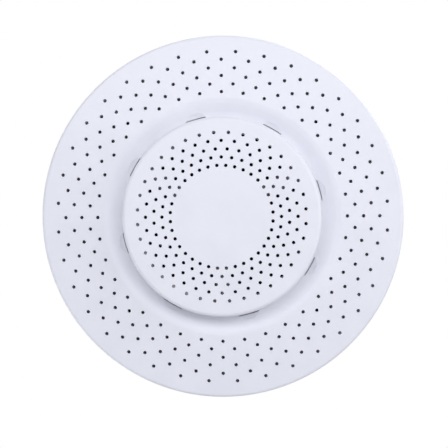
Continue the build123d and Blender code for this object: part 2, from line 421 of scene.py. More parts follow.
def smooth(piece: Piece, angle: float = 32.0) -> None:
    """Smooths a piece's shading, keeps its sharp edges and lets large faces stay flat.

    Args:
        piece: the piece.
        angle: steepest angle that still looks smooth, in degrees.
    """
    pick(piece)
    bpy.ops.object.shade_smooth_by_angle(angle=math.radians(angle))
    modifier = piece.modifiers.new("weights", "WEIGHTED_NORMAL")
    modifier.keep_sharp = True
    bpy.ops.object.modifier_apply(modifier=modifier.name)


# ------------------------------------------------------------------ node groups
NodeTree = bpy.types.NodeTree
Socket = bpy.types.NodeSocket


class Wiring:
    """Adds nodes to a tree and links them, for groups and for materials."""

    def __init__(self, tree: NodeTree) -> None:
        """Keeps the tree to be wired."""
        self.tree = tree

    def node(self, kind: str, **settings: object) -> bpy.types.Node:
        """Adds a node.

        Args:
            kind: type of the node.
            settings: its properties.

        Returns:
            The node.
        """
        made = self.tree.nodes.new(kind)
        for key, value in settings.items():
            setattr(made, key, value)
        return made

    def feed(self, socket: Socket, value: "Socket | float | Sequence[float]") -> None:
        """Links a socket to another one, or sets its value."""
        if isinstance(value, bpy.types.NodeSocket):
            self.tree.links.new(value, socket)
        else:
            socket.default_value = value

    def maths(self, what: str, one: "Socket | float", other: "Socket | float" = 0.0) -> Socket:
        """Adds a sum of two values.

        Args:
            what: name of the operation.
            one: first value or socket.
            other: second value or socket.

        Returns:
            The result's socket.
        """
        made = self.node("ShaderNodeMath", operation=what)
        self.feed(made.inputs[0], one)
        self.feed(made.inputs[1], other)
        return made.outputs[0]

    def noise(self, where: Socket, scale: "Socket | float", detail: float = 3.0) -> Socket:
        """Adds a noise pattern and gives its value socket."""
        made = self.node("ShaderNodeTexNoise")
        self.feed(made.inputs["Vector"], where)
        self.feed(made.inputs["Scale"], scale)
        made.inputs["Detail"].default_value = detail
        return made.outputs["Fac"]

    def spread(
        self, value: Socket, source: Sequence[float], target: Sequence["Socket | float"] = (0.0, 1.0)
    ) -> Socket:
        """Maps a value from one range to another, and holds it there.

        Args:
            value: the value's socket.
            source: lowest and highest value read.
            target: what they become.

        Returns:
            The mapped value's socket.
        """
        made = self.node("ShaderNodeMapRange")
        self.feed(made.inputs["Value"], value)
        self.feed(made.inputs["From Min"], source[0])
        self.feed(made.inputs["From Max"], source[1])
        self.feed(made.inputs["To Min"], target[0])
        self.feed(made.inputs["To Max"], target[1])
        return made.outputs["Result"]

    def blend(self, share: Socket, one: "Socket | Colour", other: "Socket | Colour") -> Socket:
        """Mixes two colours by a mask.

        Args:
            share: mask, 0 for the first colour and 1 for the other.
            one: first colour or socket.
            other: other colour or socket.

        Returns:
            The mixed colour's socket.
        """
        made = self.node("ShaderNodeMix", data_type="RGBA")
        self.feed(made.inputs[0], share)
        for socket, value in ((made.inputs[6], one), (made.inputs[7], other)):
            self.feed(socket, value if isinstance(value, bpy.types.NodeSocket) else (*value, 1))
        return made.outputs[2]


class Pattern(Enum):
    """Surface patterns that the finishes share."""

    MOULDED = "moulded_grain"
    SPANGLE = "zinc_spangle"
    TURNED = "turned_lines"
    DRAWN = "drawn_streaks"
    CELLULAR = "rubber_cells"


class SharedGroup:
    """A node group with one number in and values that change over the surface out."""

    def __init__(self, name: str, control: str, usual: float) -> None:
        """Makes the group's tree, its input and the place on the surface that it reads.

        Args:
            name: name of the group.
            control: name of its input.
            usual: the input's value where a material sets none.
        """
        self.tree = bpy.data.node_groups.new(name, "ShaderNodeTree")
        number = self.tree.interface.new_socket(control, in_out="INPUT", socket_type="NodeSocketFloat")
        number.default_value = usual
        self.wiring = Wiring(self.tree)
        self.control = self.wiring.node("NodeGroupInput").outputs[control]
        self.where = self.wiring.node("ShaderNodeTexCoord").outputs["Object"]

    def put_out(self, **values: Socket) -> None:
        """Makes one output of the group for each value, under its name."""
        for name in values:
            self.tree.interface.new_socket(name, in_out="OUTPUT", socket_type="NodeSocketFloat")
        ends = self.wiring.node("NodeGroupOutput")
        for name, value in values.items():
            self.wiring.feed(ends.inputs[name], value)


class PatternGroup(SharedGroup):
    """Builds the shared node group of one pattern.

    Each group takes a scale per metre and puts out a mask for colour and roughness and a
    height for bump.
    """

    def __init__(self, pattern: Pattern) -> None:
        """Builds the group and wires its pattern."""
        super().__init__(pattern.value, "Scale", 1000.0)
        mask, height = getattr(self, f"_{pattern.name.lower()}")()
        self.put_out(Mask=mask, Height=height)

    def _moulded(self) -> tuple[Socket, Socket]:
        """Wires the fine grain of an etched mould over slow, cloudy variation."""
        wiring = self.wiring
        cloud = wiring.noise(self.where, wiring.maths("MULTIPLY", self.control, 0.02), 4.0)
        fine = wiring.noise(self.where, self.control, 2.0)
        swell = wiring.maths("MULTIPLY", cloud, 0.6)
        mask = wiring.spread(cloud, (0.3, 0.7))
        return mask, wiring.maths("ADD", fine, swell)

    def _spangle(self) -> tuple[Socket, Socket]:
        """Wires the crystal flakes of hot-dip zinc."""
        wiring = self.wiring
        wander = wiring.node("ShaderNodeTexNoise")
        wiring.feed(wander.inputs["Vector"], self.where)
        wiring.feed(wander.inputs["Scale"], self.control)
        bent = wiring.node("ShaderNodeMix", data_type="VECTOR")
        bent.inputs[0].default_value = 0.004
        wiring.feed(bent.inputs[4], self.where)
        wiring.feed(bent.inputs[5], wander.outputs["Color"])
        flakes = wiring.node("ShaderNodeTexVoronoi", feature="F1")
        wiring.feed(flakes.inputs["Vector"], bent.outputs[1])
        wiring.feed(flakes.inputs["Scale"], self.control)
        shade = wiring.node("ShaderNodeSeparateColor")
        wiring.feed(shade.inputs[0], flakes.outputs["Color"])
        fern = wiring.noise(self.where, wiring.maths("MULTIPLY", self.control, 9.0), 3.0)
        mixes = []
        for flake, flake_share, fern_share in ((shade.outputs[0], 0.75, 0.25), (shade.outputs[1], 0.5, 0.3)):
            whole = wiring.maths("MULTIPLY", flake, flake_share)
            mixes.append(wiring.maths("ADD", whole, wiring.maths("MULTIPLY", fern, fern_share)))
        return mixes[0], mixes[1]

    def _turned(self) -> tuple[Socket, Socket]:
        """Wires rings round the axis, as a lathe tool or a nut's forging leaves them."""
        wiring = self.wiring
        parts = wiring.node("ShaderNodeSeparateXYZ")
        wiring.feed(parts.inputs[0], self.where)
        squares = [wiring.maths("MULTIPLY", parts.outputs[axis], parts.outputs[axis]) for axis in (0, 1)]
        radius = wiring.maths("SQRT", wiring.maths("ADD", *squares))
        lines = wiring.node("ShaderNodeTexNoise", noise_dimensions="1D")
        along = wiring.maths("ADD", radius, parts.outputs[2])
        wiring.feed(lines.inputs["W"], wiring.maths("MULTIPLY", along, self.control))
        lines.inputs["Scale"].default_value = 1.0
        mask = wiring.spread(lines.outputs["Fac"], (0.3, 0.7))
        return mask, lines.outputs["Fac"]

    def _drawn(self) -> tuple[Socket, Socket]:
        """Wires streaks along the height, as drawn or rolled metal shows them."""
        wiring = self.wiring
        mapping = wiring.node("ShaderNodeMapping")
        wiring.feed(mapping.inputs["Vector"], self.where)
        mapping.inputs["Scale"].default_value = (1.0, 1.0, 0.05)
        streaks = wiring.noise(mapping.outputs[0], self.control, 4.0)
        mask = wiring.spread(streaks, (0.3, 0.7))
        return mask, streaks

    def _cellular(self) -> tuple[Socket, Socket]:
        """Wires the closed cells of expanded rubber."""
        wiring = self.wiring
        cells = wiring.node("ShaderNodeTexVoronoi", feature="F1")
        wiring.feed(cells.inputs["Vector"], self.where)
        wiring.feed(cells.inputs["Scale"], self.control)
        bloom = wiring.noise(self.where, wiring.maths("MULTIPLY", self.control, 0.05), 4.0)
        mask = wiring.spread(bloom, (0.35, 0.7))
        return mask, cells.outputs["Distance"]


class EdgeWearGroup(SharedGroup):
    """Builds the shared node group that finds rubbed edges.

    It takes an amount and puts out a mask, strongest on convex edges and broken by noise.
    """

    def __init__(self) -> None:
        """Builds the group and wires its mask."""
        super().__init__("edge_wear", "Amount", 0.5)
        wiring = self.wiring
        pointed = wiring.node("ShaderNodeNewGeometry").outputs["Pointiness"]
        sharp = wiring.spread(pointed, (0.52, 0.60))
        broken = wiring.spread(wiring.noise(self.where, 400.0, 4.0), (0.35, 0.65), (0.2, 1.0))
        rubbed = wiring.maths("MULTIPLY", sharp, broken)
        self.put_out(Mask=wiring.maths("MULTIPLY", rubbed, self.control))


class DustGroup(SharedGroup):
    """Builds the shared node group that lays dust on faces that look up.

    It takes an amount and puts out a mask, uneven as settled dust is.
    """

    def __init__(self) -> None:
        """Builds the group and wires its mask."""
        super().__init__("settled_dust", "Amount", 0.3)
        wiring = self.wiring
        parts = wiring.node("ShaderNodeSeparateXYZ")
        wiring.feed(parts.inputs[0], wiring.node("ShaderNodeNewGeometry").outputs["Normal"])
        upward = wiring.spread(parts.outputs[2], (0.3, 1.0))
        uneven = wiring.spread(wiring.noise(self.where, 90.0, 6.0), (0.3, 0.75), (0.1, 1.0))
        settled = wiring.maths("MULTIPLY", upward, uneven)
        self.put_out(Mask=wiring.maths("MULTIPLY", settled, self.control))


# ------------------------------------------------------------------ finishes
@dataclass(frozen=True)
class Finish:
    """One finish: its colours, gloss and pattern."""

    name: str
    slot: str
    colour: Colour
    second: Colour
    roughness: tuple[float, float]
    pattern: Pattern
    scale: float
    bump: float
    metallic: float = 0.0
    specular: float = 0.5
    worn: Colour = (0.8, 0.8, 0.8)
    wear: float = 0.0
    dust: float = 0.0


DUST_COLOUR: Colour = (0.42, 0.40, 0.37)
DUST_ROUGHNESS = 0.4  # added where the dust lies
BUMP_REACH = 0.1  # in mm

WHITE_PLASTIC = Finish(
    "moulded_white_plastic", "white_plastic", (0.80, 0.80, 0.86), (0.83, 0.83, 0.885), (0.36, 0.44),
    Pattern.MOULDED, 2600.0, 0.04, specular=0.45, worn=(0.88, 0.88, 0.92), wear=0.15, dust=0.08,
)
GALVANISED = Finish(
    "galvanised_sheet", "galvanised_steel", (0.42, 0.44, 0.46), (0.66, 0.68, 0.70), (0.28, 0.52),
    Pattern.SPANGLE, 130.0, 0.10, metallic=0.92, worn=(0.74, 0.75, 0.76), wear=0.6, dust=0.35,
)
ZINC = Finish(
    "bright_zinc_plate", "zinc_plate", (0.60, 0.61, 0.60), (0.74, 0.74, 0.70), (0.22, 0.36),
    Pattern.TURNED, 4200.0, 0.12, metallic=1.0, worn=(0.80, 0.80, 0.79), wear=0.5, dust=0.15,
)
ZINC_SHEET = Finish(
    "zinc_plated_sheet", "zinc_plate", (0.50, 0.51, 0.51), (0.64, 0.64, 0.61), (0.46, 0.62),
    Pattern.MOULDED, 1500.0, 0.08, metallic=1.0, worn=(0.80, 0.80, 0.79), wear=0.6, dust=0.25,
)
SPRING_STEEL = Finish(
    "blued_spring_steel", "spring_steel", (0.30, 0.31, 0.34), (0.46, 0.46, 0.47), (0.24, 0.38),
    Pattern.DRAWN, 2400.0, 0.10, metallic=1.0, worn=(0.62, 0.62, 0.62), wear=0.6,
)
BRASS = Finish(
    "turned_brass", "brass", (0.62, 0.44, 0.17), (0.80, 0.60, 0.27), (0.20, 0.34),
    Pattern.TURNED, 3600.0, 0.12, metallic=1.0, worn=(0.90, 0.74, 0.42), wear=0.5,
)
SEAL_RUBBER = Finish(
    "lip_seal_rubber", "seal_rubber", (0.016, 0.016, 0.017), (0.030, 0.030, 0.031), (0.46, 0.62),
    Pattern.MOULDED, 1800.0, 0.10, specular=0.4, worn=(0.05, 0.05, 0.05), wear=0.3, dust=0.12,
)
GASKET_RUBBER = Finish(
    "cellular_gasket_rubber", "gasket_rubber", (0.030, 0.030, 0.032), (0.060, 0.060, 0.063), (0.78, 0.95),
    Pattern.CELLULAR, 1700.0, 0.35, specular=0.25, dust=0.10,
)
GREY_NYLON = Finish(
    "glass_filled_nylon", "grey_nylon", (0.075, 0.080, 0.088), (0.115, 0.120, 0.130), (0.42, 0.58),
    Pattern.MOULDED, 1500.0, 0.14, specular=0.4, worn=(0.20, 0.20, 0.21), wear=0.3,
)
WHITE_NYLON = Finish(
    "natural_nylon", "white_nylon", (0.66, 0.65, 0.60), (0.74, 0.73, 0.69), (0.36, 0.48),
    Pattern.TURNED, 2600.0, 0.06, specular=0.45,
)


class PaintShop:
    """Makes each finish's material once, from the shared groups, and dresses the pieces."""

    def __init__(self) -> None:
        """Builds the shared node groups."""
        self.patterns = {pattern: PatternGroup(pattern).tree for pattern in Pattern}
        self.wear = EdgeWearGroup().tree
        self.dust = DustGroup().tree
        self.made: dict[str, bpy.types.Material] = {}

    def dress(self, piece: Piece, finish: Finish) -> None:
        """Gives a piece its finish.

        Args:
            piece: the piece.
            finish: its finish.
        """
        if finish.name not in self.made:
            self.made[finish.name] = self._mix(finish)
        piece.data.materials.clear()
        piece.data.materials.append(self.made[finish.name])

    def _mix(self, finish: Finish) -> bpy.types.Material:
        """Wires the material of a finish.

        Args:
            finish: the finish.

        Returns:
            Its material.
        """
        material = bpy.data.materials.new(finish.name)
        material.use_nodes = True
        wiring = Wiring(material.node_tree)
        shader = material.node_tree.nodes["Principled BSDF"]
        shader.inputs["Metallic"].default_value = finish.metallic
        shader.inputs["Specular IOR Level"].default_value = finish.specular
        group = wiring.node("ShaderNodeGroup", node_tree=self.patterns[finish.pattern])
        group.inputs["Scale"].default_value = finish.scale
        mask, height = group.outputs["Mask"], group.outputs["Height"]
        colour = wiring.blend(mask, finish.colour, finish.second)
        roughness = wiring.spread(mask, (0.0, 1.0), finish.roughness)
        if finish.wear:
            rubbed = wiring.node("ShaderNodeGroup", node_tree=self.wear)
            rubbed.inputs["Amount"].default_value = finish.wear
            colour = wiring.blend(rubbed.outputs["Mask"], colour, finish.worn)
        if finish.dust:
            settled = wiring.node("ShaderNodeGroup", node_tree=self.dust)
            settled.inputs["Amount"].default_value = finish.dust
            colour = wiring.blend(settled.outputs["Mask"], colour, DUST_COLOUR)
            dulled = wiring.maths("MULTIPLY", settled.outputs["Mask"], DUST_ROUGHNESS)
            roughness = wiring.maths("ADD", roughness, dulled)
        bump = wiring.node("ShaderNodeBump")
        bump.inputs["Strength"].default_value = finish.bump
        bump.inputs["Distance"].default_value = BUMP_REACH * MM
        wiring.feed(bump.inputs["Height"], height)
        wiring.feed(shader.inputs["Base Color"], colour)
        wiring.feed(shader.inputs["Roughness"], roughness)
        wiring.feed(shader.inputs["Normal"], bump.outputs["Normal"])
        return material


@dataclass
class SubAssembly:
    """Pieces that belong together, and what they share."""

    shop: PaintShop

    def put(self, piece: Piece, body: Body, finish: Finish, *nodes: str) -> Piece:
        """Dresses a finished piece and hands it to its body.

        Args:
            piece: the piece.
            body: body that it rides on.
            finish: its finish.
            nodes: CAD nodes that it stands for.

        Returns:
            The same piece.
        """
        self.shop.dress(piece, finish)
        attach(piece, body.value)
        if nodes:
            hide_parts(*nodes)
        LOG.info("%s: %d faces, rides on %s", piece.name, len(piece.data.polygons), body.value)
        return piece


def pinhole_spokes(
    name: str,
    radii: Sequence[float],
    half_pitch_first: bool,
    face: float,
    wall: float,
    bore: Sequence[float],
) -> Piece:
    """Makes the pins that pierce a face: one spoke of pins, repeated round the axis.

    Args:
        name: name of the tool.
        radii: radius of each ring of pins, in mm.
        half_pitch_first: whether the first ring stands half a pitch round.
        face: height of the visible face, in mm.
        wall: thickness to pierce, in mm.
        bore: pin radius for each ring, in mm.

    Returns:
        All the pins as one tool.
    """
    pins = []
    for index, (radius, pin_r) in enumerate(zip(radii, bore)):
        half = (index % 2 == 0) == half_pitch_first
        outer = pin_r + PIN_FLARE * (1 + PIN_PAST / PIN_FLARE_DEPTH)
        profile = (
            (pin_r, face + wall + PIN_PAST),
            (pin_r, face + PIN_FLARE_DEPTH),
            (outer, face - PIN_PAST),
        )
        pin = turn("pin", profile, segments=PIN_ROUND, ring=False)
        pins.append(place(pin, 180 / PINS_PER_RING if half else 0.0, (radius, 0, 0)))
    return repeat_round(merge(name, *pins), PINS_PER_RING)


# ------------------------------------------------------------------ face
@dataclass
class PerforatedFace(SubAssembly):
    """The one-piece moulded cover: ring of pinholes, groove, slots, collar, lugs and pads."""

    wall: float = 2.0
    rim_rounding: float = 2.0
    shoulder_rounding: float = 2.4
    groove_rounding: float = 1.8
    rim_inner_rounding: float = 1.2
    throat_rounding: float = 0.9
    collar_foot_rounding: float = 0.8
    edge_ease: float = 0.4
    groove_depth: float = 3.2
    groove_floor_r: float = 64.3
    shoulder_r: float = 72.1
    throat_r: float = 54.0
    ceiling_gap: float = 1.0
    slot_r: float = 62.8
    slot_width: float = 0.5
    slots: int = 8
    slot_angle: float = 12.0
    slot_start: float = 30.0
    slot_corner: float = 0.25
    scoop_r: float = 61.8
    scoop_depth: float = 0.9
    scoop_reach: float = 3.6
    scoop_flatness: float = 3.0
    pinhole_rings: tuple[float, ...] = (77.6, 82.6, 87.6, 92.6, 97.6, 102.6)
    pinhole_r: tuple[float, ...] = (1.08, 1.08, 1.09, 1.09, 1.11, 1.11)
    lugs: int = 3
    lug_inner_r: float = 44.5
    lug_width: float = 11.0
    lug_depth: float = 8.0
    lug_rise: float = 1.5
    lug_corner: float = 2.6
    pads: int = 4
    pad_inset: float = 6.8
    pad_half_width: float = 2.0
    pad_gap: float = 0.1
    pad_angle: float = 7.5
    ribs: int = 12
    rib_inner_r: float = 74.5
    rib_half_width: float = 0.6
    rib_height: float = 2.6
    rib_slope: float = 3.0
    rib_angle: float = 2.5
    sunk: float = 0.4

    def build(self) -> None:
        """Models the cover and puts it on the pull-off face."""
        span = span_of("front_cover")
        self.rim_r, self.face, self.collar_top = span.reach, span.low, span.high
        self.floor = self.face + self.groove_depth
        cover = self._shell()
        combine(cover, self._lugs(), Join.ADD)
        combine(cover, self._pads(), Join.ADD)
        combine(cover, self._ribs(), Join.ADD)
        combine(cover, self._scoop_cutter(), Join.CUT)
        combine(cover, self._slot_cutter(), Join.CUT)
        pins = pinhole_spokes("pins", self.pinhole_rings, False, self.face, self.wall, self.pinhole_r)
        combine(cover, pins, Join.CUT)
        smooth(cover)
        self.put(cover, Body.FACE, WHITE_PLASTIC, "front_cover")

    def _shell(self) -> Piece:
        """Turns the cover's wall and rounds its corners.

        Returns:
            The plain shell.
        """
        back, floor_back = self.face + self.wall, self.floor + self.wall
        rim_top, rim_inner = -self.ceiling_gap, self.rim_r - self.wall
        collar_r = self.throat_r + self.wall
        shell = turn(
            "perforated_face",
            (
                (self.throat_r, self.floor),
                (self.groove_floor_r, self.floor),
                (self.shoulder_r, self.face),
                (self.rim_r, self.face),
                (self.rim_r, rim_top),
                (rim_inner, rim_top),
                (rim_inner, back),
                (self.shoulder_r, back),
                (self.groove_floor_r, floor_back),
                (collar_r, floor_back),
                (collar_r, self.collar_top),
                (self.throat_r, self.collar_top),
            ),
            segments=LARGE_ROUND,
        )
        round_circles(shell, (self.rim_r, self.face, self.rim_rounding), steps=8)
        round_circles(
            shell,
            (self.shoulder_r, self.face, self.shoulder_rounding),
            (self.groove_floor_r, self.floor, self.groove_rounding),
            steps=6,
        )
        round_circles(
            shell,
            (rim_inner, back, self.rim_inner_rounding),
            (self.throat_r, self.floor, self.throat_rounding),
            (collar_r, floor_back, self.collar_foot_rounding),
            (self.rim_r, rim_top, self.edge_ease),
            (rim_inner, rim_top, self.edge_ease),
            (collar_r, self.collar_top, self.edge_ease),
            (self.throat_r, self.collar_top, self.edge_ease),
            steps=3,
        )
        return shell

    def _lugs(self) -> Piece:
        """Makes the three screw lugs inside the collar.

        Returns:
            The lugs as one tool.
        """
        half, top = self.lug_width / 2, self.collar_top
        bottom = top - self.lug_depth
        lug = block("lug", (self.lug_inner_r, -half, bottom), (self.throat_r + 1, half, top))
        at_end = both(lambda end: end.x < self.lug_inner_r + 1)
        at_top = both(lambda end: end.z > top - NEAR)
        with editing(lug):
            select_edges(lug, lambda a, b: at_end(a, b) and max(a.z, b.z) < bottom + 1)
            bpy.ops.transform.translate(value=(0, 0, self.lug_rise * MM))
        round_edges(lug, lambda a, b: at_end(a, b) and rises(2)(a, b), self.lug_corner, 5)
        round_edges(lug, lambda a, b: at_top(a, b) and a.x < self.throat_r - 2, 0.3, 2)
        return repeat_round(place(lug, 90), self.lugs)

    def _pads(self) -> Piece:
        """Makes the four pads that seat on the mounting frame.

        Returns:
            The pads as one tool.
        """
        low, high = self.floor + self.wall - 0.5, span_of("mounting_frame").low - self.pad_gap
        half = self.pad_half_width
        pad = block("pad", (self.throat_r + self.pad_inset, -half, low), (self.groove_floor_r, half, high))
        round_edges(pad, rises(1), 0.6)
        return repeat_round(place(pad, self.pad_angle), self.pads)

    def _ribs(self) -> Piece:
        """Makes the stiffening ribs on the back, which run between the pinholes.

        Returns:
            The ribs as one tool.
        """
        back, half = self.face + self.wall, self.rib_half_width
        inner, outer = self.rib_inner_r, self.rim_r - self.wall + self.sunk
        rib = block("rib", (inner, -half, back - self.sunk), (outer, half, back + self.rib_height))
        on_top = both(lambda end: end.z > back)
        with editing(rib):
            select_edges(rib, lambda a, b: on_top(a, b) and max(a.x, b.x) < inner + 1)
            bpy.ops.transform.translate(value=(self.rib_slope * MM, 0, 0))
        round_edges(rib, lambda a, b: on_top(a, b) and abs(a.x - b.x) > 5, 0.35, 2)
        return repeat_round(place(rib, self.rib_angle), self.ribs)

    def _slot_cutter(self) -> Piece:
        """Makes the tool for the air slots, each with rounded corners.

        Returns:
            The tool.
        """
        corners = flat_ring(
            self.slot_r, self.slot_r + self.slot_width, self.floor - 1, self.floor + self.wall + 1
        )
        slot = draw_line("slot", [(radius, 0, height) for radius, height in (*corners, corners[0])])
        tidy_shell(slot)
        with editing(slot):
            bpy.ops.mesh.select_all(action="SELECT")
            angle = math.radians(self.slot_angle)
            bpy.ops.mesh.spin(steps=6, angle=angle, center=(0, 0, 0), axis=(0, 0, 1))
            bpy.ops.mesh.select_all(action="SELECT")
            bpy.ops.mesh.fill_holes(sides=4)
            bpy.ops.mesh.normals_make_consistent(inside=False)
        # The spin turns clockwise, so half a turn back brings the slot's middle to angle 0
        place(slot, self.slot_angle / 2)
        near_end = math.radians(self.slot_angle / 2) * 0.98

        def at_corner(one: Vector, other: Vector) -> bool:
            """Finds the upright edges at the slot's two ends."""
            return rises(1)(one, other) and abs(math.atan2(one.y, one.x)) > near_end

        round_edges(slot, at_corner, self.slot_corner)
        return repeat_round(place(slot, self.slot_start), self.slots)

    def _scoop_cutter(self) -> Piece:
        """Makes the tool for the shallow scoops that lead the air out of the slots.

        Returns:
            The tool.
        """
        thick, sunk = self.scoop_flatness, self.scoop_flatness - self.scoop_depth
        grown = 1 / math.sqrt(1 - (sunk / thick) ** 2)
        half_length = self.scoop_r * math.radians(self.slot_angle / 2)
        pick()
        bpy.ops.mesh.primitive_uv_sphere_add(segments=TOOL_ROUND, ring_count=TINY_ROUND, radius=MM)
        scoop = bpy.context.object
        scoop.name = "scoop"
        scoop.scale = (self.scoop_reach * grown, half_length * grown, thick)
        bpy.ops.object.transform_apply(scale=True)
        place(scoop, self.slot_start, (self.scoop_r, 0, self.floor - sunk))
        return repeat_round(scoop, self.slots)


# ------------------------------------------------------------------ centre disc
@dataclass
class CentreDisc(SubAssembly):
    """The disc that screws down to open: perforated cap, brass insert and foot seal."""

    wall: float = 2.0
    face_r: float = 60.7
    edge_rounding: float = 2.4
    pinhole_rings: tuple[float, ...] = (31.25, 36.25, 41.25, 46.25, 51.25)
    pinhole_r: float = 1.07
    blank_r: float = 20.0
    seal_recess: float = 0.3
    boss_r: float = 9.0
    insert_r: float = 6.0
    insert_bore: float = 4.05
    insert_flange: float = 1.5
    knurl: tuple[float, float] = (0.08, 0.25)
    gussets: int = 6
    gusset_end_r: float = 28.25
    gusset_height: float = 4.0
    gusset_half_width: float = 0.8
    gusset_slope: float = 2.6
    seal_width: float = 2.0
    lip: tuple[float, float] = (0.7, 0.8)

    def build(self) -> None:
        """Models the disc's pieces and puts them on the centre disc."""
        self.disc = span_of("valve_disc")
        self.insert = span_of("thread_insert")
        self._cap()
        self._insert()
        self._foot_seal()

    def _cap(self) -> None:
        """Models the moulded cap with its boss, gussets and pinholes."""
        face, foot_r = self.disc.low, self.disc.reach
        back, foot = face + self.wall, span_of("disc_seal").high - self.seal_recess
        boss_top = self.disc.high
        cap = turn(
            "centre_cap",
            (
                (self.blank_r, face),
                (self.face_r, face),
                (foot_r, foot),
                (foot_r - self.wall, foot),
                (self.face_r - self.wall, back),
                (self.boss_r, back),
                (self.boss_r, boss_top),
                (self.insert_r, boss_top),
                (self.insert_r, back),
            ),
            segments=LARGE_ROUND,
            ring=False,
        )
        round_circles(cap, (self.face_r, face, self.edge_rounding), steps=8)
        round_circles(
            cap,
            (foot_r, foot, 0.6),
            (foot_r - self.wall, foot, 0.5),
            (self.face_r - self.wall, back, 1.2),
            (self.boss_r, back, 0.8),
            (self.boss_r, boss_top, 0.3),
            steps=3,
        )
        high, half = back + self.gusset_height, self.gusset_half_width
        gusset = block("gusset", (self.boss_r - 1, -half, back - 0.4), (self.gusset_end_r, half, high))
        on_top = both(lambda end: end.z > back)
        with editing(gusset):
            select_edges(gusset, lambda a, b: on_top(a, b) and min(a.x, b.x) > self.blank_r)
            bpy.ops.transform.translate(value=(0, 0, -self.gusset_slope * MM))
        round_edges(gusset, lambda a, b: on_top(a, b) and abs(a.x - b.x) > 5, 0.4, 2)
        combine(cap, repeat_round(gusset, self.gussets), Join.ADD)
        bores = (self.pinhole_r,) * len(self.pinhole_rings)
        combine(cap, pinhole_spokes("pins", self.pinhole_rings, True, face, self.wall, bores), Join.CUT)
        smooth(cap)
        self.put(cap, Body.DISC, WHITE_PLASTIC, "valve_disc")

    def _insert(self) -> None:
        """Models the knurled brass insert."""
        low, top, flange_r = self.insert.low, self.insert.high, self.insert.reach
        body_r, bore, under = self.insert_r, self.insert_bore, top - self.insert_flange
        insert = turn(
            "brass_insert",
            ((bore, low), (body_r, low), (body_r, under), (flange_r, under), (flange_r, top), (bore, top)),
            segments=SMALL_ROUND,
        )
        width, depth = self.knurl

        def on_rim(face: bmesh.types.BMFace) -> bool:
            """Says whether a face is on the flange's outer wall."""
            return face.calc_center_median().xy.length > (flange_r - 0.1) * MM and abs(face.normal.z) < 0.3

        with editing(insert):
            mesh = bmesh.from_edit_mesh(insert.data)
            rim = [face for face in mesh.faces if on_rim(face)]
            rim.sort(key=lambda face: math.atan2(face.calc_center_median().y, face.calc_center_median().x))
            for face in rim[::2]:
                face.select_set(True)
            bmesh.update_edit_mesh(insert.data)
            bpy.context.tool_settings.mesh_select_mode = (False, False, True)
            bpy.ops.mesh.inset(thickness=width * MM, depth=-depth * MM, use_individual=True)
        round_circles(insert, (bore, top, 0.5), (bore, low, 0.5), steps=2)
        smooth(insert)
        self.put(insert, Body.DISC, BRASS, "thread_insert")

    def _foot_seal(self) -> None:
        """Models the seal ring in the disc's foot, with a soft lip."""
        span = span_of("disc_seal")
        outer, inner = span.reach, span.reach - self.seal_width
        across, down = self.lip
        seal = turn(
            "foot_seal_ring",
            (
                (inner, span.low),
                (outer, span.low),
                (outer, span.high - down),
                (outer - across, span.high),
                (inner + across, span.high),
                (inner, span.high - down),
            ),
            segments=LARGE_ROUND,
        )
        round_circles(seal, (inner, span.low, 0.4), (outer, span.low, 0.4), steps=3)
        smooth(seal, 50)
        self.put(seal, Body.DISC, GASKET_RUBBER, "disc_seal")


